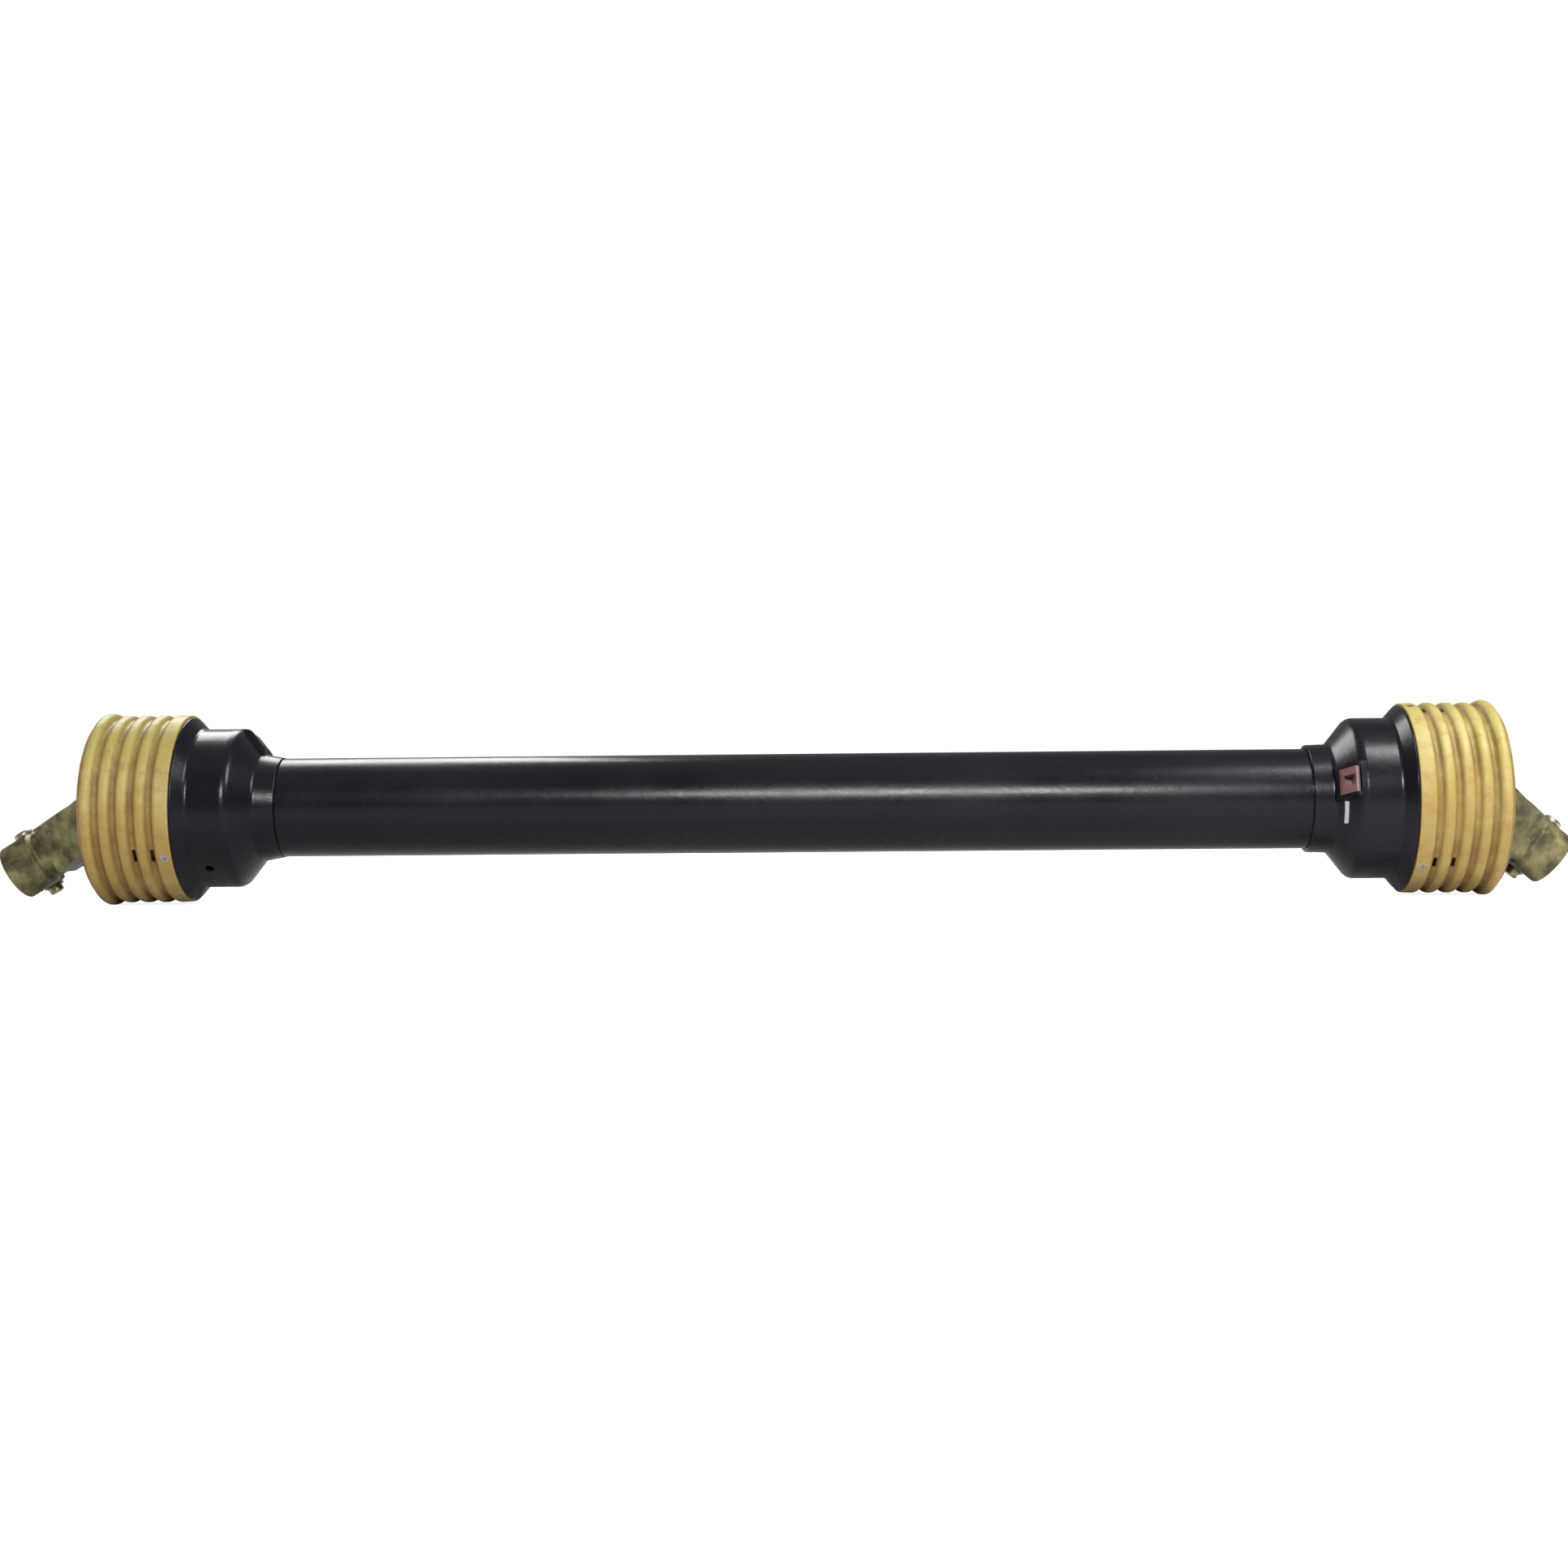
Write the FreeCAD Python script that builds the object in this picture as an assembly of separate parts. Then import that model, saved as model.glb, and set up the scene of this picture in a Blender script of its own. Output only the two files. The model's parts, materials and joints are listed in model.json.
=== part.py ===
import FreeCAD, Part
import os
from math import cos, pi, radians, sin, tan

# A cardan drive shaft (power take-off shaft) in its plastic guard, lying with both end yokes drooped.
# Millimetres. The shaft axis is X, +Z is up, and the origin is at the middle of the overall length.
# Each end is built about its own cross centre with +X pointing out of the shaft, then put in place.

V = FreeCAD.Vector
ORIGIN = V(0, 0, 0)
X_AXIS = V(1, 0, 0)
Y_AXIS = V(0, 1, 0)
Z_AXIS = V(0, 0, 1)

# ---- driving dimensions -------------------------------------------------------------------------
CLOSED_LENGTH = 1110.0  # between cross centres, shaft fully closed
MIDDLE = 11.0  # midway between the crosses, from the middle of the overall length
CROSS_X = {"tractor": MIDDLE - CLOSED_LENGTH / 2, "implement": MIDDLE + CLOSED_LENGTH / 2}
FAR = 90.0  # past every surface of an end, where a cutter stops

# how each end hangs, in degrees from straight
DROOP = {"tractor": 31.0, "implement": 39.5}
GUARD_ROLL = {"tractor": 12.0, "implement": 75.0}  # turns the bell's window from the top towards -Y
CONE_TURN = {"tractor": 107.0, "implement": 60.0}  # first screw of the cone, from the window
LOCK_SIDE = {"tractor": -1, "implement": 1}  # which side of the end yoke its locking pin is on

# cross kit: bearing cups of this diameter, this far across
CUP_R = 13.5
CUP_SPAN = 74.6
CUP_DEPTH = 15.3
CUP_FLOOR = 2.5
TRUNNION_R = 8.2
NEEDLE_D = 2.5
TRUNNION_END = CUP_SPAN / 2 - CUP_FLOOR - 0.4
CROSS_SHOULDER = 18.5
CROSS_BALL_R = 17.0
CROSS_HALF = 13.0
TRUNNION_ROOT_R = 12.2
GREASE_BORE_R = 2.5
NIPPLE_FACE = 17.0
NIPPLE_THREAD_R = 3.0
NIPPLE_SPOT_R = 5.4
CIRCLIP_T = 1.4
CIRCLIP_W = 2.45
LUG_R = 2.2
LUG_HOLE_R = 0.9
LUG_APART = 7.2
GROOVE_W = 1.5
GROOVE_R = CUP_R + 0.9

# forks
EAR_IN = 24.0
EAR_OUT = 42.0
EAR_R = 21.0
WAIST = 18.0
FORK_BASE = 46.0
FORK_ROUND = 14.0

# end yokes: 1 3/8 inch six-spline socket with a push-pin lock; the implement's is the short pattern
END_LENGTH = {"tractor": 103.0, "implement": 82.0}
NECK_START = {"tractor": 60.0, "implement": 50.0}  # where the fork has narrowed to the hub
COLLAR_LENGTH = 29.0
COLLAR_R = 23.3
NECK_R = 20.5
SPLINE_MINOR_R = 14.95
SPLINE_MAJOR_R = 17.5
SPLINE_SLOT_W = 8.8
SPLINE_COUNT = 6
SOCKET_MOUTH = 4.0
PIN_BACK = 15.0  # from the hub's end face
PIN_OFFSET = 21.2
PIN_R = 6.0
PIN_NECK_R = 3.5
PIN_BOSS_R = 11.5
BOSS_HALF = 20.0
BOSS_ROUND = 1.8
SPRING_POCKET_R = 8.3
SPRING_SEAT = 9.0
PIN_HEAD_R = 8.0
PIN_HEAD_AT = 26.5
PIN_HEAD_T = 4.0
PIN_TAIL = -28.0
PIN_CLIP = (-22.6, -21.5)
PIN_FREE = (2.5, 21.0)  # necked stretch that lets the socket slide off
SPRING_WIRE_R = 0.55
SPRING_R = 7.0
SPRING_TURNS = 5

# shaft yoke and drive tubes
SHAFT_HUB_R = 30.0
SOCKET_HUB_R = 32.0
BEARING_GROOVE = (-112.6, -104.0)
BEARING_GROOVE_R = 26.0
RUNNING_GAP = 0.3
SOCKET_START = -118.0
SOCKET_END = -165.0
ROLL_PIN_X = -142.0
ROLL_PIN_R = 5.0
ROLL_PIN_WALL = 1.8
ROLL_PIN_SLIT = 0.6
LOBE_CENTRE = 23.3  # distance of each big arc's centre from the axis
OUTER_TUBE_ARC = 45.0
OUTER_TUBE_WALL = 3.4
INNER_TUBE_ARC = 41.2
INNER_TUBE_WALL = 4.5
LOBE_ROUND = 10.0
DRIVE_TUBE_FREE_END = 175.0  # from the far cross centre, shaft closed

# guard tubes
OUTER_GUARD_R = 40.5
INNER_GUARD_R = 37.5
GUARD_WALL = 2.5
INNER_GUARD_FREE_END = 155.0  # from the implement cross centre
GUARD_TUBE_GAP = 0.8  # outer tube's free end to the far bell's neck

# guard bell
BELL_R = 65.2
BELL_WALL = 3.0
RIM_R = 76.4
SPIGOT_R = 73.4
SPIGOT_END = -50.0
RIM_X = -61.5
FLARE_END = -71.5
SHOULDER_X = -103.0
NECK_X = -120.0
NECK_END = -137.0
BELL_NECK_R = 44.2
NECK_END_R = {"tractor": 41.0, "implement": 43.6}
SEAT_R = 41.0
SLEEVE_R = 43.4
SLEEVE_END = -104.0
TUBE_STOP = -122.5
LIP_R = 36.0
WINDOW = (-119.0, -104.5)
WINDOW_HALF = 11.0
WINDOW_WALL = 3.0
WINDOW_CREST_R = 48.5  # top of the window's frame where it meets the neck
CHAIN_EYE_R = 3.5
CHAIN_EYE_X = -86.0
CHAIN_EYE_TURN = 210.0  # from the window, round the bell
TONGUE_TURN = 27.0  # bearing tongue, from the window towards the front
TONGUE_HALF = 9.0
TONGUE_X = (-115.0, -112.0)
TONGUE_R = 52.0

# ribbed cone
RIDGE_R = 77.2
VALLEY_R = 73.0
RIDGE_PITCH = 14.5
RIDGE_COUNT = 5
MOUTH_RIDGE_R = 79.0
FIRST_RIDGE_X = 5.2
MOUTH_X = 12.6
CONE_WALL = 2.4
RIDGE_TOP = 3.2
RIDGE_BASE = 5.6
SCREW_X = -56.0
SCREW_COUNT = 3
SCREW_R = 1.5
SCREW_HEAD_R = 3.6
SCREW_HEAD_T = 2.4
SCREW_TOP = RIDGE_R - 0.8
SLOT_VALLEYS = (2, 3)  # counted from the mouth; moulded release slots in line with the screws
SLOT_HALF = 6.5
SLOT_WIDTH = 3.4


# ---- shapes -------------------------------------------------------------------------------------
def rounded_wire(corners):
    """Closed wire through (x, y, radius) corners in the XY plane, each rounded by a tangent arc."""
    ends = []
    count = len(corners)
    for i, (x, y, radius) in enumerate(corners):
        here = V(x, y, 0)
        before = V(*corners[i - 1][:2], 0) - here
        after = V(*corners[(i + 1) % count][:2], 0) - here
        before.normalize()
        after.normalize()
        if radius <= 0:
            ends.append((here, None, here))
            continue
        opening = before.getAngle(after)
        reach = radius / tan(opening / 2)
        to_centre = (before + after).normalize()
        mid = here + to_centre * (radius / sin(opening / 2) - radius)
        ends.append((here + before * reach, mid, here + after * reach))
    edges = []
    for i, (start, mid, end) in enumerate(ends):
        if mid is not None:
            edges.append(Part.Arc(start, mid, end).toShape())
        following = ends[(i + 1) % count][0]
        if end.distanceToPoint(following) > 1e-6:
            edges.append(Part.LineSegment(end, following).toShape())
    return Part.Wire(edges)


def revolved(corners):
    """Solid of revolution about X from (x, radius, rounding) corners."""
    return Part.Face(rounded_wire(corners)).revolve(ORIGIN, X_AXIS, 360)


def cylinder(radius, low, high, axis, at=ORIGIN):
    """Cylinder along axis, from low to high along it, through the point at."""
    return Part.makeCylinder(radius, high - low, at + axis * low, axis)


def ring(outer, inner, low, high, axis, at=ORIGIN):
    return cylinder(outer, low, high, axis, at).cut(cylinder(inner, low - 1, high + 1, axis, at))


def block(x, y, z):
    """Box between the (low, high) pairs x, y and z."""
    return Part.makeBox(x[1] - x[0], y[1] - y[0], z[1] - z[0], V(x[0], y[0], z[0]))


def turned(shape, axis, degrees, at=ORIGIN):
    copy = shape.copy()
    copy.rotate(at, axis, degrees)
    return copy


def mirrored_pair(shape, normal):
    """The shape and its mirror image, as two separate solids."""
    return Part.makeCompound([shape, shape.mirror(ORIGIN, normal)])


def lobed_face(arc_radius, x):
    """Three-lobed tube outline at x: three big arcs, with rounded corners between them."""
    discs = []
    for k in range(3):
        angle = radians(90 + 120 * k)
        centre = V(x, LOBE_CENTRE * cos(angle), LOBE_CENTRE * sin(angle))
        discs.append(Part.makeCylinder(arc_radius, 1.0, centre, X_AXIS))
    body = discs[0].common(discs[1]).common(discs[2])
    corners = [e for e in body.Edges if abs(e.tangentAt(e.FirstParameter).x) > 0.99]
    body = body.makeFillet(LOBE_ROUND - (OUTER_TUBE_ARC - arc_radius), corners)
    return min(body.Faces, key=lambda f: f.CenterOfMass.x)


def lobed_bar(arc_radius, low, high):
    return lobed_face(arc_radius, low).extrude(X_AXIS * (high - low))


# ---- guard --------------------------------------------------------------------------------------
def shoulder_radius(x):
    """Outer radius of the bell's conical shoulder at x."""
    share = (SHOULDER_X - x) / (SHOULDER_X - NECK_X)
    return BELL_R + (BELL_NECK_R - BELL_R) * share


def guard_bell(end, tube_r):
    """Black bell: spigot for the ribbed cone, flared rim, body, shoulder, neck and bearing seat."""
    slope = (BELL_R - BELL_NECK_R) / (SHOULDER_X - NECK_X)
    inner_r = BELL_R - BELL_WALL
    drop = BELL_WALL * (1 + slope * slope) ** 0.5  # wall measured along R on the shoulder
    inner_corner = SHOULDER_X + (BELL_WALL - drop) / -slope
    sleeve_root = NECK_X + (SLEEVE_R + drop - BELL_NECK_R) / slope
    spigot_in = SPIGOT_R - BELL_WALL
    body = revolved([
        (SPIGOT_END, SPIGOT_R, 0.5),
        (RIM_X, SPIGOT_R, 0),
        (RIM_X, RIM_R, 1.0),
        (FLARE_END, BELL_R, 4.0),
        (SHOULDER_X, BELL_R, 9.0),
        (NECK_X, BELL_NECK_R, 5.0),
        (NECK_END, NECK_END_R[end], 1.0),
        (NECK_END, tube_r, 0),
        (TUBE_STOP, tube_r, 0),
        (TUBE_STOP, LIP_R, 0),
        (NECK_X, LIP_R, 0),
        (NECK_X, SEAT_R, 0),
        (SLEEVE_END, SEAT_R, 0),
        (SLEEVE_END, SLEEVE_R, 0),
        (sleeve_root, SLEEVE_R, 0),
        (inner_corner, inner_r, 6.0),
        (FLARE_END + 1.3, inner_r, 4.0),
        (RIM_X - 1.4, spigot_in, 1.0),
        (SPIGOT_END, spigot_in, 0.5),
    ])
    body = body.fuse(window_frame()).cut(window_opening()).cut(tongue_slot())
    eye = cylinder(CHAIN_EYE_R, SEAT_R, FAR, Z_AXIS, V(CHAIN_EYE_X, 0, 0))
    eye = turned(eye, X_AXIS, CHAIN_EYE_TURN)
    for hole in screw_holes(end, 2.0):
        body = body.cut(hole)
    return body.cut(eye).removeSplitter()


def window_frame():
    """Housing round the window: carries the bell's body out over the shoulder, at the top."""
    low, high = NECK_X - 1.5, SHOULDER_X + 3.0
    band = revolved([
        (high, BELL_R - 4.0, 0),
        (high, BELL_R, 0),
        (SHOULDER_X - 5.0, BELL_R, 7.0),
        (low, WINDOW_CREST_R, 3.0),
        (low, BELL_NECK_R - 1.5, 0),
    ])
    half = WINDOW_HALF + WINDOW_WALL
    return band.common(block((low - 1, high + 1), (-half, half), (0, FAR)))


def window_opening():
    return block(WINDOW, (-WINDOW_HALF, WINDOW_HALF), (SLEEVE_R + 0.1, FAR))


def tongue(grow, outer_r):
    """Radial tongue of the guard bearing, grown on every side by grow."""
    low, high = TONGUE_X
    half = TONGUE_HALF + grow
    fin = block((low - grow, high + grow), (-half, half), (BEARING_GROOVE_R + 4.0, FAR))
    fin = fin.common(cylinder(outer_r, low - 2, high + 2, X_AXIS))
    return turned(fin, X_AXIS, TONGUE_TURN)


def tongue_slot():
    return tongue(0.3, 68.0)


def guard_bearing():
    """Split nylon ring that runs in the shaft yoke's groove and carries the guard."""
    low, high = BEARING_GROOVE[0] + RUNNING_GAP, BEARING_GROOVE[1] - RUNNING_GAP
    bore = BEARING_GROOVE_R + RUNNING_GAP
    seat = SEAT_R - 0.1
    body = revolved([
        (high, bore, 0.4),
        (high, seat, 0.4),
        (NECK_X + 0.2, seat, 0.4),
        (NECK_X + 0.2, SEAT_R - 5.0, 0.4),
        (low, SEAT_R - 5.0, 1.0),
        (low, bore, 0.4),
    ])
    split = turned(block((NECK_X, SLEEVE_END + 1), (-1.5, 1.5), (20, 45)), X_AXIS, 180)
    fin = tongue(0, TONGUE_R).cut(cylinder(seat - 2.0, NECK_X, SLEEVE_END, X_AXIS))
    return body.cut(split).fuse(fin).removeSplitter()


def bearing_clip():
    """Coloured release clip that fills the bell's window, with a finger slot."""
    low, high = WINDOW[0] + 0.5, WINDOW[1] - 0.5
    bottom = SLEEVE_R + 0.4
    side = rounded_wire([
        (low, bottom, 0),
        (low, WINDOW_CREST_R + 1.0, 1.0),
        (SHOULDER_X - 5.5, BELL_R - 2.0, 3.0),
        (high, BELL_R - 2.0, 1.0),
        (high, bottom, 0),
    ])
    half = WINDOW_HALF - 0.5
    body = turned(Part.Face(side).extrude(V(0, 0, 2 * half)), X_AXIS, 90)
    body.translate(V(0, half, 0))
    slot = block((low + 3.0, high - 3.5), (-half / 2.4, half / 2.4), (SLEEVE_R + 4.0, FAR))
    return body.cut(slot)


def ribbed_cone(end):
    """Yellow flexible cone: round ridges, an open mouth, and a skirt over the bell's spigot."""
    outer = [(MOUTH_X, VALLEY_R, 1.0)]
    inner = [(MOUTH_X, VALLEY_R - CONE_WALL, 1.0)]
    for k in range(RIDGE_COUNT):
        x = FIRST_RIDGE_X - k * RIDGE_PITCH
        crest = MOUTH_RIDGE_R if k == 0 else RIDGE_R
        last = k == RIDGE_COUNT - 1
        outer += [(x + RIDGE_BASE, VALLEY_R, 2.0), (x + RIDGE_TOP, crest, 4.0)]
        if not last:
            outer += [(x - RIDGE_TOP, crest, 4.0), (x - RIDGE_BASE, VALLEY_R, 2.0)]
            inner += [
                (x + RIDGE_BASE - 1.3, VALLEY_R - CONE_WALL, 3.0),
                (x + RIDGE_TOP - 1.3, crest - CONE_WALL, 1.6),
                (x - RIDGE_TOP + 1.3, crest - CONE_WALL, 1.6),
                (x - RIDGE_BASE + 1.3, VALLEY_R - CONE_WALL, 3.0),
            ]
    skirt_end = RIM_X + 0.2
    bore = SPIGOT_R + 0.1
    outer += [(skirt_end, RIDGE_R - 0.4, 0.8), (skirt_end, bore, 0)]
    inner += [(SPIGOT_END + 0.4, VALLEY_R - CONE_WALL, 0), (SPIGOT_END + 0.4, bore, 0)]
    body = revolved(outer + inner[::-1])
    for hole in screw_holes(end, 1.6, True) + release_slots(end):
        body = body.cut(hole)
    return body


def release_slots(end):
    """Round-ended slots through the cone's valleys, where a tool reaches the bell's catches."""
    slots = []
    reach = SLOT_HALF - SLOT_WIDTH / 2
    for valley in SLOT_VALLEYS:
        x = FIRST_RIDGE_X - (valley + 0.5) * RIDGE_PITCH
        slot = block((x - SLOT_WIDTH / 2, x + SLOT_WIDTH / 2), (-reach, reach), (BELL_R, FAR))
        for side in (-reach, reach):
            slot = slot.fuse(cylinder(SLOT_WIDTH / 2, BELL_R, FAR, Z_AXIS, V(x, side, 0)))
        slots += [turned(slot, X_AXIS, turn) for turn in screw_axes(end)]
    return slots


def screw_axes(end):
    """Turn about X of each cone screw, from the bell's window."""
    return [CONE_TURN[end] + k * 360 / SCREW_COUNT for k in range(SCREW_COUNT)]


def screw_blank(shank_r, grow, bottom):
    """Countersunk screw standing on +Z with its head flush with the cone's skirt."""
    at = V(SCREW_X, 0, 0)
    under = at + Z_AXIS * (SCREW_TOP - SCREW_HEAD_T)
    head = Part.makeCone(shank_r, SCREW_HEAD_R + grow, SCREW_HEAD_T, under, Z_AXIS)
    return head.fuse(cylinder(shank_r, bottom, SCREW_TOP - 2.0, Z_AXIS, at))


def screw_holes(end, radius, countersunk=False):
    holes = []
    for turn in screw_axes(end):
        hole = cylinder(radius, BELL_R, FAR, Z_AXIS, V(SCREW_X, 0, 0))
        if countersunk:
            seat = cylinder(SCREW_HEAD_R + 0.1, SCREW_TOP, FAR, Z_AXIS, V(SCREW_X, 0, 0))
            hole = screw_blank(radius, 0.1, BELL_R).fuse(seat)
        holes.append(turned(hole, X_AXIS, turn))
    return holes


def cone_screws(end):
    """Small cross-head screws that hold the ribbed cone on the bell."""
    screws = []
    for turn in screw_axes(end):
        screw = screw_blank(SCREW_R, 0, SPIGOT_R - 5)
        for angle in (20, 110):
            recess = block((-1.9, 1.9), (-0.4, 0.4), (SCREW_TOP - 1.1, SCREW_TOP + 1))
            recess.rotate(ORIGIN, Z_AXIS, angle)
            recess.translate(V(SCREW_X, 0, 0))
            screw = screw.cut(recess)
        screws.append(turned(screw, X_AXIS, turn))
    return Part.makeCompound(screws)


# ---- cross kit ----------------------------------------------------------------------------------
def cross():
    """Forged cross with four ground trunnions."""
    sides = (-CROSS_SHOULDER, CROSS_SHOULDER)
    body = Part.makeSphere(CROSS_BALL_R).common(block((-CROSS_HALF, CROSS_HALF), sides, sides))
    for axis in (Y_AXIS, Z_AXIS):
        body = body.fuse(cylinder(TRUNNION_ROOT_R, *sides, axis))
        body = body.fuse(cylinder(TRUNNION_R, -TRUNNION_END, TRUNNION_END, axis))
    body = body.removeSplitter()
    for axis in (Y_AXIS, Z_AXIS):
        body = body.cut(cylinder(GREASE_BORE_R, -TRUNNION_END - 1, TRUNNION_END + 1, axis))
    spot = cylinder(NIPPLE_SPOT_R, NIPPLE_FACE, FAR, Z_AXIS)
    nipple_seat = cylinder(NIPPLE_THREAD_R, 0, FAR, Z_AXIS).fuse(spot)
    return body.cut(turned(nipple_seat, X_AXIS, 45))


def grease_nipple():
    """Nipple screwed into the cross between two trunnions."""
    body = revolved([
        (10.0, 0.8, 0),
        (10.0, NIPPLE_THREAD_R - 0.05, 0),
        (NIPPLE_FACE, NIPPLE_THREAD_R - 0.05, 0),
        (NIPPLE_FACE, 4.6, 0.4),
        (20.4, 4.6, 0.4),
        (20.4, 2.2, 0.5),
        (23.6, 2.2, 0.5),
        (24.2, 3.2, 0.5),
        (26.4, 2.4, 0.8),
        (26.4, 0.8, 0),
    ])
    return turned(turned(body, Y_AXIS, -90), X_AXIS, 45)


def bearing_cup(axis):
    """Drawn cup with its floor outwards."""
    high = CUP_SPAN / 2
    low = high - CUP_DEPTH
    bore = TRUNNION_R + NEEDLE_D + 0.06
    cup = cylinder(CUP_R, low, high, axis)
    edges = [e for e in cup.Edges if abs(e.CenterOfMass.dot(axis) - high) < 1e-3]
    return cup.makeChamfer(0.8, edges).cut(cylinder(bore, low - 1, high - CUP_FLOOR, axis))


def needle_set(axis):
    """The full complement of needle rollers in a cup, as the ring that it fills."""
    outer = TRUNNION_R + NEEDLE_D + 0.03
    return ring(outer, TRUNNION_R + 0.03, CUP_SPAN / 2 - CUP_DEPTH + 1.6, TRUNNION_END - 0.2, axis)


def cross_seal(axis):
    low, high = CROSS_SHOULDER, CUP_SPAN / 2 - CUP_DEPTH - RUNNING_GAP
    seal = ring(12.6, TRUNNION_R, low, high, axis)
    return seal.fuse(ring(13.2, 11.4, low, high - 0.9, axis)).removeSplitter()


def circlip(axis, across):
    """Internal retaining ring with its gap and lugs."""
    low = CUP_SPAN / 2 + 0.05
    high = low + CIRCLIP_T
    outer = GROOVE_R - 0.15
    along = axis.cross(across)
    body = ring(outer, outer - CIRCLIP_W, low, high, axis)
    for side in (-1, 1):
        lug_at = across * (GROOVE_R - 2 * LUG_R + 0.2) + along * (side * LUG_APART / 2)
        body = body.fuse(cylinder(LUG_R, low, high, axis, lug_at))
        body = body.cut(cylinder(LUG_HOLE_R, low - 1, high + 1, axis, lug_at))
    gap = Part.makeBox(2.6, 20, 10, V(-1.3, 0, -5))
    upright = FreeCAD.Rotation(along, across, axis, "ZXY")
    gap.Placement = FreeCAD.Placement(axis * (low + 0.5), upright)
    return body.cut(gap)


def fork(hub_half, hub_start):
    """Two-eared fork opening to -X, ears on +Y and -Y, closing at hub_start to a hub of this half-width."""
    hub_end = hub_start + 6.0
    plan = rounded_wire([
        (-EAR_R - 1, EAR_IN, 0),
        (-EAR_R - 1, EAR_OUT, 0),
        (27.0, EAR_OUT, 16.0),
        (hub_start, hub_half, 8.0),
        (hub_end, hub_half, 0),
        (hub_end, -hub_half, 0),
        (hub_start, -hub_half, 8.0),
        (27.0, -EAR_OUT, 16.0),
        (-EAR_R - 1, -EAR_OUT, 0),
        (-EAR_R - 1, -EAR_IN, 0),
        (FORK_BASE, -EAR_IN, FORK_ROUND),
        (FORK_BASE, EAR_IN, FORK_ROUND),
    ])
    side = rounded_wire([
        (4.0, EAR_R - 0.4, 0),
        (24.0, WAIST, 20.0),
        (hub_start - 2.0, hub_half, 10.0),
        (hub_end, hub_half, 0),
        (hub_end, -hub_half, 0),
        (hub_start - 2.0, -hub_half, 10.0),
        (24.0, -WAIST, 20.0),
        (4.0, -EAR_R + 0.4, 0),
    ])
    flat = Part.Face(plan).extrude(Z_AXIS * 2 * FAR)
    flat.translate(Z_AXIS * -FAR)
    tall = Part.Face(side).extrude(Z_AXIS * 2 * FAR)
    tall.rotate(ORIGIN, X_AXIS, 90)
    tall.translate(Y_AXIS * FAR)
    tall = tall.fuse(cylinder(EAR_R, -FAR, FAR, Y_AXIS)).removeSplitter()
    return flat.common(tall)


def cup_bores(shape):
    """Bores for the bearing cups along Y, with a retaining-ring groove in each ear."""
    shape = shape.cut(cylinder(CUP_R, -FAR, FAR, Y_AXIS))
    for low in (CUP_SPAN / 2, -CUP_SPAN / 2 - GROOVE_W):
        shape = shape.cut(cylinder(GROOVE_R, low, low + GROOVE_W, Y_AXIS))
    return shape


def spline_bore(length):
    """Six-spline socket through the hub of an end yoke of this length."""
    low, high = FORK_BASE - 6, length + 1
    bore = cylinder(SPLINE_MINOR_R, low, high, X_AXIS)
    slots = None
    for k in range(SPLINE_COUNT // 2):
        slot = block((low, high), (-FAR, FAR), (-SPLINE_SLOT_W / 2, SPLINE_SLOT_W / 2))
        slot = turned(slot, X_AXIS, k * 180 / (SPLINE_COUNT // 2))
        slots = slot if slots is None else slots.fuse(slot)
    slots = slots.common(cylinder(SPLINE_MAJOR_R, low, high, X_AXIS))
    face = V(length + 0.01, 0, 0)
    mouth = Part.makeCone(SPLINE_MAJOR_R + 1.5, SPLINE_MINOR_R, SOCKET_MOUTH, face, -X_AXIS)
    return bore.fuse(slots).fuse(mouth)


def pin_place(shape, end):
    """From the locking pin's own axis, drawn on Z, to its place beside the end yoke's socket."""
    copy = shape.copy()
    copy.translate(V(END_LENGTH[end] - PIN_BACK, LOCK_SIDE[end] * PIN_OFFSET, 0))
    return copy


def end_yoke(end):
    """Forged end yoke: fork, neck, collar with splined socket, and the locking pin's boss."""
    length = END_LENGTH[end]
    low = length - COLLAR_LENGTH
    collar = revolved([
        (FORK_BASE + 2, 0, 0),
        (FORK_BASE + 2, NECK_R, 0),
        (low, NECK_R, 1.5),
        (low + 3.2, COLLAR_R, 1.2),
        (length, COLLAR_R, 2.5),
        (length, 0, 0),
    ])
    boss = cylinder(PIN_BOSS_R, -BOSS_HALF, BOSS_HALF, Z_AXIS)
    rims = [e for e in boss.Edges if e.Length > 2 * BOSS_HALF + 1]
    boss = pin_place(boss.makeFillet(BOSS_ROUND, rims), end)
    body = fork(NECK_R, NECK_START[end]).fuse(collar).fuse(boss).removeSplitter()
    body = cup_bores(body).cut(spline_bore(length))
    pocket = cylinder(SPRING_POCKET_R, SPRING_SEAT, FAR, Z_AXIS)
    return body.cut(pin_place(cylinder(PIN_R + 0.1, -FAR, FAR, Z_AXIS).fuse(pocket), end))


def lock_pin(end):
    """Push pin: full section locks the socket's groove, necked section frees it, domed head on top."""
    head_top = PIN_HEAD_AT + PIN_HEAD_T
    clip_low, clip_high = PIN_CLIP
    free_low, free_high = PIN_FREE
    half = [
        (PIN_TAIL, 0, 0),
        (PIN_TAIL, PIN_R, 1.5),
        (clip_low - 0.1, PIN_R, 0),
        (clip_low - 0.1, PIN_R - 1.0, 0),
        (clip_high + 0.1, PIN_R - 1.0, 0),
        (clip_high + 0.1, PIN_R, 0),
        (free_low, PIN_R, 0),
        (free_low + 2.0, PIN_NECK_R, 0.8),
        (free_high - 2.0, PIN_NECK_R, 0.8),
        (free_high, PIN_R - 0.3, 0),
        (PIN_HEAD_AT, PIN_R - 0.3, 0),
        (PIN_HEAD_AT, PIN_HEAD_R, 0.6),
        (head_top, PIN_HEAD_R - 0.6, 2.2),
        (head_top, 0, 0),
    ]
    return pin_place(turned(revolved(half), Y_AXIS, -90), end)


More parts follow.
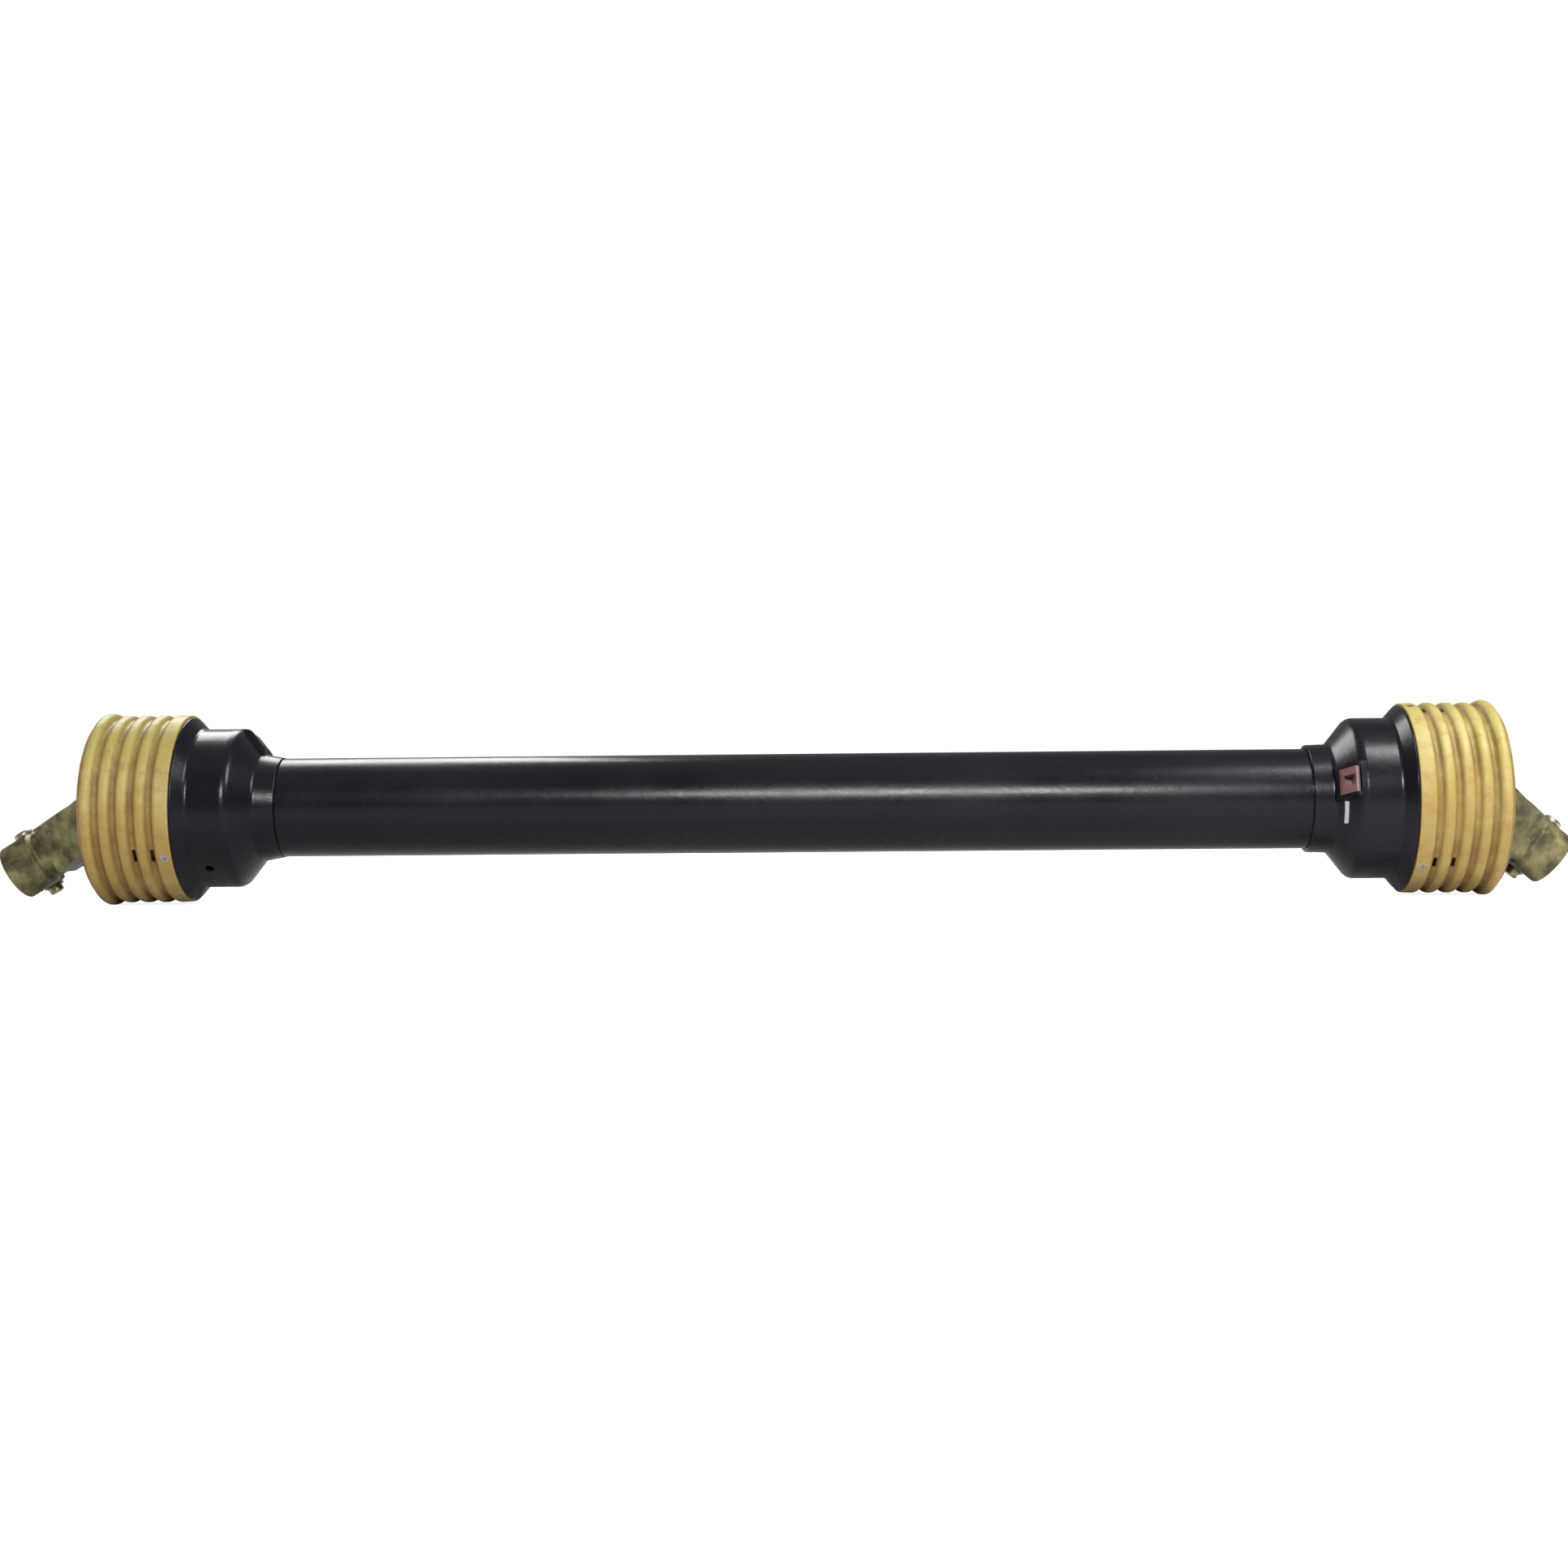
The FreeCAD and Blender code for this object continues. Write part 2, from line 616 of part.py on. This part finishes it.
def lock_clip(end):
    """Retaining ring on the locking pin's tail."""
    low, high = PIN_CLIP
    body = ring(PIN_R + 2.4, PIN_R - 0.9, low, high, Z_AXIS)
    return pin_place(body.cut(block((0, FAR), (-PIN_R / 2, PIN_R / 2), (low - 1, high + 1))), end)


def lock_spring(end):
    """Return spring between the pocket's floor and the pin's head."""
    low = SPRING_SEAT + SPRING_WIRE_R + 0.1
    high = PIN_HEAD_AT - SPRING_WIRE_R - 0.1
    steps = SPRING_TURNS * 16
    points = []
    for i in range(steps + 1):
        angle = 2 * pi * SPRING_TURNS * i / steps
        height = low + (high - low) * i / steps
        points.append(V(SPRING_R * cos(angle), SPRING_R * sin(angle), height))
    line = Part.BSplineCurve()
    line.interpolate(points)
    start = line.tangent(line.FirstParameter)[0]
    section = Part.Wire([Part.Circle(points[0], start, SPRING_WIRE_R).toShape()])
    return pin_place(Part.Wire([line.toShape()]).makePipeShell([section], True, True), end)


# ---- shaft yoke and tubes -----------------------------------------------------------------------
def shaft_yoke(tube_arc):
    """Inner yoke: fork on +Z and -Z, groove for the guard bearing, socket for the drive tube."""
    head = cup_bores(fork(SHAFT_HUB_R - 4.0, 60.0))
    head.rotate(ORIGIN, Y_AXIS, 180)
    head.rotate(ORIGIN, X_AXIS, 90)
    low, high = BEARING_GROOVE
    hub = revolved([
        (-50.0, 0, 0),
        (-50.0, SHAFT_HUB_R - 4.0, 0),
        (-62.0, SHAFT_HUB_R - 4.0, 3.0),
        (-68.0, SHAFT_HUB_R, 3.0),
        (high, SHAFT_HUB_R, 0.5),
        (high, BEARING_GROOVE_R, 0.6),
        (low, BEARING_GROOVE_R, 0.6),
        (low, SOCKET_HUB_R, 0.5),
        (SOCKET_END, SOCKET_HUB_R, 2.0),
        (SOCKET_END, 0, 0),
    ])
    body = head.fuse(hub).removeSplitter()
    body = body.cut(lobed_bar(tube_arc + 0.05, SOCKET_END - 1, SOCKET_START))
    return body.cut(cylinder(ROLL_PIN_R, -FAR, FAR, Y_AXIS, V(ROLL_PIN_X, 0, 0)))


def roll_pin():
    """Split spring pin through the yoke's hub and the drive tube."""
    at = V(ROLL_PIN_X, 0, 0)
    reach = SOCKET_HUB_R - 1.2
    body = ring(ROLL_PIN_R, ROLL_PIN_R - ROLL_PIN_WALL, -reach, reach, Y_AXIS, at)
    slit = block((0, ROLL_PIN_R + 1), (-FAR, FAR), (-ROLL_PIN_SLIT, ROLL_PIN_SLIT))
    slit.translate(at)
    return body.cut(slit)


def drive_tube(arc_radius, wall):
    """Three-lobed tube from its socket to its free end near the far yoke, with its pin hole."""
    low = DRIVE_TUBE_FREE_END - CLOSED_LENGTH
    high = SOCKET_START - 0.5
    tube = lobed_bar(arc_radius, low, high)
    tube = tube.cut(lobed_bar(arc_radius - wall, low - 1, high + 1))
    return tube.cut(cylinder(ROLL_PIN_R, -FAR, FAR, Y_AXIS, V(ROLL_PIN_X, 0, 0)))


def guard_tube(radius, far_end):
    """Plain tube from the bell's neck to far_end, both measured from this end's cross centre."""
    return ring(radius, radius - GUARD_WALL, far_end, TUBE_STOP - 0.2, X_AXIS)


# ---- assembly -----------------------------------------------------------------------------------
def placed(shape, end):
    """From an end's own frame to the shaft's frame."""
    copy = shape.copy()
    if end == "tractor":
        copy.rotate(ORIGIN, Z_AXIS, 180)
    copy.translate(V(CROSS_X[end], 0, 0))
    return copy


def end_pieces(end):
    """Every piece of one end, by name, in the end's own frame."""
    outer_half = end == "implement"
    arc = OUTER_TUBE_ARC if outer_half else INNER_TUBE_ARC
    tube_r = (OUTER_GUARD_R if outer_half else INNER_GUARD_R) + 0.1
    guard = {
        "guard_bell": guard_bell(end, tube_r),
        "guard_cone": ribbed_cone(end),
        "guard_bearing": guard_bearing(),
        "bearing_clip": bearing_clip(),
        "cone_screws": cone_screws(end),
    }
    shaft = {
        "shaft_yoke": shaft_yoke(arc),
        "tube_roll_pin": roll_pin(),
        "shaft_bearing_cups": mirrored_pair(bearing_cup(Z_AXIS), Z_AXIS),
        "shaft_needle_sets": mirrored_pair(needle_set(Z_AXIS), Z_AXIS),
        "shaft_circlips": mirrored_pair(circlip(Z_AXIS, X_AXIS), Z_AXIS),
    }
    seals = [s for axis in (Y_AXIS, Z_AXIS) for s in mirrored_pair(cross_seal(axis), axis).Solids]
    middle = {
        "cross": cross(),
        "cross_seals": Part.makeCompound(seals),
        "grease_nipple": grease_nipple(),
    }
    hanging = {
        "end_yoke": end_yoke(end),
        "end_bearing_cups": mirrored_pair(bearing_cup(Y_AXIS), Y_AXIS),
        "end_needle_sets": mirrored_pair(needle_set(Y_AXIS), Y_AXIS),
        "end_circlips": mirrored_pair(circlip(Y_AXIS, X_AXIS), Y_AXIS),
        "lock_pin": lock_pin(end),
        "lock_spring": lock_spring(end),
        "lock_clip": lock_clip(end),
    }
    pieces = {name: turned(s, X_AXIS, GUARD_ROLL[end]) for name, s in guard.items()}
    pieces.update(shaft)
    pieces.update(middle)
    pieces.update({name: turned(s, Y_AXIS, DROOP[end]) for name, s in hanging.items()})
    return pieces


def tubes():
    """The two guard tubes and the two drive tubes, in place."""
    outer_guard_end = -NECK_END + GUARD_TUBE_GAP - CLOSED_LENGTH
    inner_guard_end = INNER_GUARD_FREE_END - CLOSED_LENGTH
    return {
        "outer_guard_tube": placed(guard_tube(OUTER_GUARD_R, outer_guard_end), "implement"),
        "inner_guard_tube": placed(guard_tube(INNER_GUARD_R, inner_guard_end), "tractor"),
        "outer_drive_tube": placed(drive_tube(OUTER_TUBE_ARC, OUTER_TUBE_WALL), "implement"),
        "inner_drive_tube": placed(drive_tube(INNER_TUBE_ARC, INNER_TUBE_WALL), "tractor"),
    }


def main():
    os.makedirs("parts", exist_ok=True)
    nodes = tubes()
    for end in ("tractor", "implement"):
        for name, shape in end_pieces(end).items():
            nodes[f"{end}_{name}"] = placed(shape, end)
    for name, shape in nodes.items():
        if not shape.isValid():
            print("not valid:", name)
        shape.exportStep(f"parts/{name}.step")
        print(name, len(shape.Solids), round(shape.Volume, 1))


main()
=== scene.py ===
import json
from math import cos, pi, radians, sin

import bmesh
import bpy
from mathutils import Matrix, Vector


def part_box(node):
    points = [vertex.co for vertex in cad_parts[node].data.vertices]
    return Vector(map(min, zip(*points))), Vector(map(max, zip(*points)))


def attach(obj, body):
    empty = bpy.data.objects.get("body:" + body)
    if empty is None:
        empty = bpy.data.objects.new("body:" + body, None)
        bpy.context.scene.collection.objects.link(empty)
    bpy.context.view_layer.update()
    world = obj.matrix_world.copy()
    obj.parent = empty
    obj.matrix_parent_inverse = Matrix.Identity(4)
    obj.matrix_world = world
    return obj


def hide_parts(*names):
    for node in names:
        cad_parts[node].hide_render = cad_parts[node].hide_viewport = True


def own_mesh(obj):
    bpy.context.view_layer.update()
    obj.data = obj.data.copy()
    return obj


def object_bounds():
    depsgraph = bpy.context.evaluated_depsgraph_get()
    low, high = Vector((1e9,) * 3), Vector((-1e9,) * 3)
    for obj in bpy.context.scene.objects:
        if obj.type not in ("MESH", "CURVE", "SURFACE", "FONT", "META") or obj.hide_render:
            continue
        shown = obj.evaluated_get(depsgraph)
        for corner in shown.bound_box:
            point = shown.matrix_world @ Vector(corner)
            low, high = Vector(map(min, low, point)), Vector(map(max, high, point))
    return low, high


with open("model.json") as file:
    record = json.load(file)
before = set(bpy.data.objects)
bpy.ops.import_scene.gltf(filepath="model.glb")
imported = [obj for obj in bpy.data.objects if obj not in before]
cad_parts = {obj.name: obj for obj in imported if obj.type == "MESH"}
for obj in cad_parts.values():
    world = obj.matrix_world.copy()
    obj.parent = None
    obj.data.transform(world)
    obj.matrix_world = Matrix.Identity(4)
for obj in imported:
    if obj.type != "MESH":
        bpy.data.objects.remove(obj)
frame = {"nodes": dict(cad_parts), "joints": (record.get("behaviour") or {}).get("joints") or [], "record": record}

CAD_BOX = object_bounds()

# ribbed cones: distance from the shaft's axis, in metres, where the valleys' dirt and painted shade start and
# where they are darkest
RIDGE_R = 0.0772
VALLEY_R = 0.0735

# lock springs, in metres
COIL_R = 0.0070
WIRE_R = 0.00055
SPRING_LENGTH = 0.0171
SPRING_FLOOR = 0.0091  # along the pin, from the level of the hub's axis
PIN_INSET = 0.0110  # from the outer end of the splines back to the pin
TURNS = 5
TURN_STEPS = 32

# backdrop, in metres
FLOOR_R = 4.0
BEND_R = 2.0
BEND_STEPS = 12
AROUND = 96

# view: an angle of view for the whole frame, a place in metres, and turns in degrees
CAMERA_ANGLE = 38.7230
CAMERA_PLACE = (0.060, -1.83, 0.0158)
CAMERA_YAW = 1.72
CAMERA_ROLL = -0.52


# ---- node helpers -------------------------------------------------------------------------------
class Material:
    """A node material on a Principled shader, built up a texture at a time."""

    def __init__(self, name, color, roughness, **sockets):
        self.data = bpy.data.materials.new(name)
        self.data.use_nodes = True
        self.tree = self.data.node_tree
        self.shader = self.tree.nodes["Principled BSDF"]
        self.shader.inputs["Base Color"].default_value = (*color, 1)
        self.shader.inputs["Roughness"].default_value = roughness
        for socket, value in sockets.items():
            self.shader.inputs[socket.replace("_", " ")].default_value = value
        self.place = self.tree.nodes.new("ShaderNodeTexCoord").outputs["Object"]

    def node(self, kind, **values):
        made = self.tree.nodes.new("ShaderNode" + kind)
        for key, value in values.items():
            if key in made.inputs:
                made.inputs[key].default_value = value
            else:
                setattr(made, key, value)
        return made

    def link(self, out, into):
        self.tree.links.new(out, into)

    def stretched(self, x, y, z):
        """Object coordinates, in metres, scaled on each axis."""
        mapping = self.node("Mapping")
        mapping.inputs["Scale"].default_value = (x, y, z)
        self.link(self.place, mapping.inputs["Vector"])
        return mapping.outputs["Vector"]

    def noise(self, scale, detail=4.0, rough=0.55, stretch=(1, 1, 1)):
        """Noise from 0 to 1 with this many features to the metre."""
        texture = self.node("TexNoise", Scale=scale, Detail=detail, Roughness=rough)
        self.link(self.stretched(*stretch), texture.inputs["Vector"])
        return texture.outputs["Fac"]

    def ramp(self, fac, low, high, to=(0.0, 1.0)):
        """Maps low..high of fac to the two values of to, clamped."""
        made = self.node("MapRange")
        for key, value in zip(("From Min", "From Max", "To Min", "To Max"), (low, high, *to)):
            made.inputs[key].default_value = value
        self.link(fac, made.inputs["Value"])
        return made.outputs["Result"]

    def blend(self, fac, a, b):
        """Colour from a to b as fac goes from 0 to 1; a and b are colours or sockets."""
        made = self.node("Mix", data_type="RGBA")
        self.link(fac, made.inputs[0])
        for value, socket in ((a, made.inputs[6]), (b, made.inputs[7])):
            if isinstance(value, tuple):
                socket.default_value = (*value, 1)
            else:
                self.link(value, socket)
        return made.outputs[2]

    def math(self, operation, a, b):
        made = self.node("Math", operation=operation)
        for value, socket in ((a, made.inputs[0]), (b, made.inputs[1])):
            if isinstance(value, float):
                socket.default_value = value
            else:
                self.link(value, socket)
        return made.outputs[0]

    def color(self, socket):
        self.link(socket, self.shader.inputs["Base Color"])

    def roughness(self, socket):
        self.link(socket, self.shader.inputs["Roughness"])

    def bump(self, height, depth, strength=1.0):
        """Adds relief: height 0 to 1 stands for 0 to depth metres."""
        made = self.node("Bump", Distance=depth, Strength=strength)
        self.link(height, made.inputs["Height"])
        normal = self.shader.inputs["Normal"]
        if normal.is_linked:
            self.link(normal.links[0].from_socket, made.inputs["Normal"])
        self.link(made.outputs["Normal"], normal)

    def coordinate(self, letter):
        parts = self.node("SeparateXYZ")
        self.link(self.place, parts.inputs[0])
        return parts.outputs[letter]

    def axis_distance(self):
        """Distance from the shaft's axis, in metres."""
        y, z = self.coordinate("Y"), self.coordinate("Z")
        squares = self.math("ADD", self.math("MULTIPLY", y, y), self.math("MULTIPLY", z, z))
        return self.math("SQRT", squares, 0.0)


# ---- materials ----------------------------------------------------------------------------------
def black_plastic(name, along):
    """Glossy black polyethylene; along stretches its fine drawn lines down the shaft."""
    m = Material(name, (0.004, 0.004, 0.006), 0.24, Specular_IOR_Level=0.27)
    smudge = m.noise(9.0, 5.0, 0.6)
    speck = m.noise(260.0, 3.0, 0.6)
    m.color(m.blend(m.ramp(smudge, 0.35, 0.75), (0.0025, 0.0025, 0.0055), (0.006, 0.006, 0.010)))
    dull = m.ramp(smudge, 0.3, 0.7, (0.20, 0.30))
    m.roughness(m.math("ADD", dull, m.ramp(speck, 0.4, 0.8, (0, 0.05))))
    m.bump(m.noise(60.0, 2.0, 0.5, (along, 1, 1)), 0.00022, 0.5)
    m.bump(m.noise(130.0, 3.0, 0.6, (0.8, 1, 1)), 0.00018, 0.7)
    m.bump(m.noise(900.0, 3.0, 0.6, (along, 1, 1)), 0.000012, 0.5)
    m.bump(m.ramp(m.noise(420.0, 2.0, 0.8, (0.12, 1, 1)), 0.68, 0.76), 0.00002, 0.4)
    return m.data


def yellow_plastic():
    """Soft yellow plastic of the ribbed cones: painted light makes it greener and lighter on top and browner
    below; dirt and painted shade darken its valleys.
    """
    m = Material("ribbed_yellow", (0.50, 0.37, 0.11), 0.46, Specular_IOR_Level=0.33)
    # Painted light: the cone is tinted greener and lighter towards its top, as if lit from above, and browner
    # towards its bottom.
    painted_top_light = m.ramp(m.coordinate("Z"), -0.005, 0.055)
    tone_and_painted_top_light = m.blend(painted_top_light, (0.39, 0.265, 0.076), (0.39, 0.335, 0.096))
    patch = m.noise(18.0, 5.0, 0.62)
    pale = m.blend(m.ramp(patch, 0.48, 0.72), tone_and_painted_top_light, (0.46, 0.37, 0.145))
    scuff = m.ramp(m.noise(75.0, 6.0, 0.72, (0.7, 1, 1)), 0.50, 0.66, (0.0, 0.70))
    aged = m.blend(scuff, pale, (0.34, 0.19, 0.060))
    # Dirt and painted shade: the valleys between the ribs darken towards (0.17, 0.090, 0.026), deeper in means
    # darker, broken up by streaks.
    depth = m.ramp(m.axis_distance(), RIDGE_R, VALLEY_R)
    streak = m.ramp(m.noise(34.0, 5.0, 0.65, (0.6, 1, 1)), 0.30, 0.62, (0.95, 0.30))
    m.color(m.blend(m.math("MULTIPLY", depth, streak), aged, (0.17, 0.090, 0.026)))
    m.roughness(m.ramp(patch, 0.3, 0.8, (0.38, 0.56)))
    m.bump(m.noise(70.0, 3.0, 0.55), 0.0011, 0.7)
    m.bump(m.noise(260.0, 4.0, 0.6), 0.00012, 0.5)
    m.bump(m.noise(1400.0, 2.0, 0.5), 0.00003, 0.5)
    return m.data


def passivated_forging():
    """Yellow-olive zinc over a scaly forging, rubbed bright in places."""
    m = Material("olive_zinc", (0.36, 0.33, 0.17), 0.44, Metallic=0.55)
    tint = m.noise(55.0, 4.0, 0.6)
    worn = m.ramp(m.noise(150.0, 6.0, 0.7), 0.60, 0.74)
    olive = m.blend(m.ramp(tint, 0.40, 0.62), (0.085, 0.075, 0.036), (0.27, 0.24, 0.11))
    m.color(m.blend(m.math("MULTIPLY", worn, 0.6), olive, (0.46, 0.43, 0.30)))
    m.roughness(m.ramp(tint, 0.3, 0.75, (0.36, 0.55)))
    m.bump(m.noise(90.0, 4.0, 0.6), 0.0011, 0.7)
    m.bump(m.noise(320.0, 5.0, 0.65), 0.00035, 0.7)
    m.bump(m.noise(1800.0, 3.0, 0.6), 0.00005, 0.6)
    return m.data


def steel(name, color, roughness, scale=420.0, depth=0.00005):
    """Turned or drawn steel with fine marks, lightly stained."""
    m = Material(name, color, roughness, Metallic=0.95)
    stain = m.noise(90.0, 4.0, 0.6)
    darker = tuple(0.62 * c for c in color)
    m.color(m.blend(m.ramp(stain, 0.35, 0.8), color, darker))
    m.roughness(m.ramp(stain, 0.3, 0.8, (roughness * 0.85, roughness * 1.35)))
    m.bump(m.noise(scale, 3.0, 0.6, (1, 0.2, 1)), depth, 0.6)
    return m.data


def moulded(name, pale, dark, roughness, scale=120.0):
    """Small moulded part with a faint mottled surface."""
    m = Material(name, pale, roughness, Specular_IOR_Level=0.4)
    mottle = m.noise(scale, 4.0, 0.6)
    m.color(m.blend(m.ramp(mottle, 0.35, 0.75), pale, dark))
    m.roughness(m.ramp(mottle, 0.3, 0.8, (roughness * 0.85, roughness * 1.25)))
    m.bump(m.noise(scale * 6, 3.0, 0.6), 0.00005, 0.6)
    return m.data


def materials():
    return {
        "guard_black": black_plastic("guard_tube_black", 0.02),
        "bell_black": black_plastic("guard_bell_black", 0.6),
        "guard_yellow": yellow_plastic(),
        "bearing_nylon": moulded("bearing_nylon", (0.48, 0.48, 0.50), (0.38, 0.37, 0.38), 0.38),
        "clip_red": moulded("clip_brick_red", (0.19, 0.09, 0.08), (0.11, 0.06, 0.056), 0.34),
        "screw_steel": steel("zinc_screw", (0.55, 0.54, 0.50), 0.34),
        "yoke_steel": passivated_forging(),
        "drive_tube_steel": steel("oiled_tube", (0.20, 0.19, 0.18), 0.36, 200.0),
        "cross_steel": steel("cross_forging", (0.24, 0.23, 0.22), 0.45, 300.0, 0.0002),
        "cup_steel": steel("ground_cup", (0.48, 0.47, 0.45), 0.26),
        "spring_steel": steel("spring_steel", (0.30, 0.29, 0.28), 0.32),
        "pin_steel": steel("passivated_pin", (0.56, 0.52, 0.36), 0.30),
        "seal_rubber": moulded("seal_rubber", (0.018, 0.018, 0.018), (0.030, 0.028, 0.026), 0.6, 200.0),
    }


def dress_frame(finish):
    """Gives every CAD node its finish, by the record's material slot."""
    slots = {s["node"]: s["material_slot"] for s in frame["record"]["subparts"]}
    for name, node in frame["nodes"].items():
        key = slots[name]
        if name.endswith("guard_bell"):
            key = "bell_black"
        node.data.materials.clear()
        node.data.materials.append(finish[key])


# ---- lock springs -------------------------------------------------------------------------------
def coil(name, base, axis):
    """Helix of round wire, standing on base and rising along axis."""
    curve = bpy.data.curves.new(name, "CURVE")
    curve.dimensions = "3D"
    curve.bevel_depth = WIRE_R
    curve.bevel_resolution = 4
    curve.use_fill_caps = True
    across = axis.orthogonal().normalized()
    beside = axis.cross(across)
    steps = TURNS * TURN_STEPS
    line = curve.splines.new("POLY")
    line.points.add(steps)
    for i, point in enumerate(line.points):
        angle = 2 * pi * i / TURN_STEPS
        rise = WIRE_R + (SPRING_LENGTH - 2 * WIRE_R) * i / steps
        out = across * cos(angle) + beside * sin(angle)
        point.co = (*(base + out * COIL_R + axis * rise), 1)
    line.use_smooth = True
    wire = bpy.data.objects.new(name, curve)
    mesh = bpy.data.meshes.new_from_object(wire)
    bpy.data.objects.remove(wire)
    return mesh


def pin_centre(end):
    """Where a locking pin's axis passes the hub's: beside the spline socket, at the pin's own Y."""
    socket = next(m for m in frame["record"]["mounts"] if m["name"] == f"{end}_spline_socket")
    reach = socket["dims"]["length_mm"] / 2000 - PIN_INSET
    point = Vector(socket["pos_m"]) + Vector(socket["axis"]) * reach
    low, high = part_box(f"{end}_lock_pin")
    point.y = (low[1] + high[1]) / 2
    return point


def lock_spring(end, finish):
    """Return spring of a locking pin, drawn as one fixed coil along the pin's push axis; it does not shorten as
    the pin is pushed in.
    """
    node = f"{end}_lock_spring"
    push = next(j for j in frame["joints"] if j["name"] == f"{end}_lock_push")
    axis = -Vector(push["axis"])
    base = pin_centre(end) + axis * SPRING_FLOOR
    piece = bpy.data.objects.new(f"{end}_coiled_spring", coil(node + "_wire", base, axis))
    bpy.context.scene.collection.objects.link(piece)
    piece.data.materials.append(finish["spring_steel"])
    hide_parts(node)
    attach(piece, f"{end}_fork")
    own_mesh(piece)


# ---- stage --------------------------------------------------------------------------------------
def glow(name, shade, camera_only):
    """Matte stage surface, this much brighter to the camera than the light it reflects."""
    material = bpy.data.materials.new(name)
    material.use_nodes = True
    tree = material.node_tree
    tree.nodes.clear()
    matte = tree.nodes.new("ShaderNodeBsdfDiffuse")
    matte.inputs["Color"].default_value = (shade, shade, shade, 1)
    light = tree.nodes.new("ShaderNodeEmission")
    path = tree.nodes.new("ShaderNodeLightPath")
    strength = tree.nodes.new("ShaderNodeMath")
    strength.operation = "MULTIPLY"
    strength.inputs[1].default_value = camera_only
    both = tree.nodes.new("ShaderNodeAddShader")
    out = tree.nodes.new("ShaderNodeOutputMaterial")
    tree.links.new(path.outputs["Is Camera Ray"], strength.inputs[0])
    tree.links.new(strength.outputs[0], light.inputs["Strength"])
    tree.links.new(matte.outputs[0], both.inputs[0])
    tree.links.new(light.outputs[0], both.inputs[1])
    tree.links.new(both.outputs[0], out.inputs["Surface"])
    return material


def floor():
    """Pale floor that curves up into a backdrop all round, so that no view shows its edge."""
    mesh = bpy.data.meshes.new("floor")
    shape = bmesh.new()
    base = CAD_BOX[0][2]
    turn = [2 * pi * k / AROUND for k in range(AROUND)]
    rings = []
    for step in range(BEND_STEPS + 1):
        angle = step / BEND_STEPS * pi / 2
        radius = FLOOR_R + BEND_R * sin(angle)
        height = base + BEND_R * (1 - cos(angle))
        rings.append([shape.verts.new((radius * cos(t), radius * sin(t), height)) for t in turn])
    shape.faces.new(rings[0])
    for low, high in zip(rings, rings[1:]):
        for k in range(AROUND):
            after = (k + 1) % AROUND
            shape.faces.new((low[k], high[k], high[after], low[after]))
    shape.to_mesh(mesh)
    shape.free()
    piece = bpy.data.objects.new("floor", mesh)
    bpy.context.scene.collection.objects.link(piece)
    for face in mesh.polygons:
        face.use_smooth = True
    mesh.materials.append(glow("floor_white", 0.74, 0.85))


def surround():
    """White to the camera and dim grey to the object, as in a studio with its lights on the object."""
    world = bpy.data.worlds.new("studio")
    bpy.context.scene.world = world
    world.use_nodes = True
    tree = world.node_tree
    background = tree.nodes["Background"]
    path = tree.nodes.new("ShaderNodeLightPath")
    brightness = tree.nodes.new("ShaderNodeMapRange")
    brightness.inputs["To Min"].default_value = 0.22
    brightness.inputs["To Max"].default_value = 1.1
    tree.links.new(path.outputs["Is Camera Ray"], brightness.inputs["Value"])
    tree.links.new(brightness.outputs["Result"], background.inputs["Strength"])
    background.inputs["Color"].default_value = (1, 1, 1, 1)


def softbox(name, place, target, size, power):
    """Soft rectangular light aimed at a point."""
    data = bpy.data.lights.new(name, "AREA")
    data.shape = "RECTANGLE"
    data.size, data.size_y = size
    data.energy = power
    lamp = bpy.data.objects.new(name, data)
    lamp.location = place
    lamp.rotation_euler = (Vector(target) - Vector(place)).to_track_quat("-Z", "Y").to_euler()
    bpy.context.scene.collection.objects.link(lamp)


def lights():
    softbox("back_top", (-0.70, 0.94, 1.02), (-0.35, 0, 0), (0.80, 0.62), 13)
    softbox("right_top", (0.99, -0.40, 1.05), (0.56, 0, 0), (0.60, 0.56), 18)
    softbox("front", (0.17, -2.05, 0.92), (0.11, 0, 0), (0.75, 0.30), 36)
    softbox("overhead", (0.01, -0.3, 2.2), (0.01, 0, 0), (3.2, 2.4), 5)


def camera():
    """Level camera in front of the shaft, a little right of its middle and turned slightly left."""
    data = bpy.data.cameras.new("camera")
    data.angle = radians(CAMERA_ANGLE)
    eye = bpy.data.objects.new("camera", data)
    turn = Matrix.Rotation(radians(CAMERA_YAW), 4, "Z") @ Matrix.Rotation(pi / 2, 4, "X")
    turn = turn @ Matrix.Rotation(radians(CAMERA_ROLL), 4, "Z")
    eye.matrix_world = Matrix.Translation(CAMERA_PLACE) @ turn
    bpy.context.scene.collection.objects.link(eye)
    bpy.context.scene.camera = eye


def main():
    camera()
    finish = materials()
    dress_frame(finish)
    for end in ("tractor", "implement"):
        lock_spring(end, finish)
    floor()
    surround()
    lights()
    bpy.context.scene.view_settings.view_transform = "Standard"


main()
bpy.context.view_layer.update()
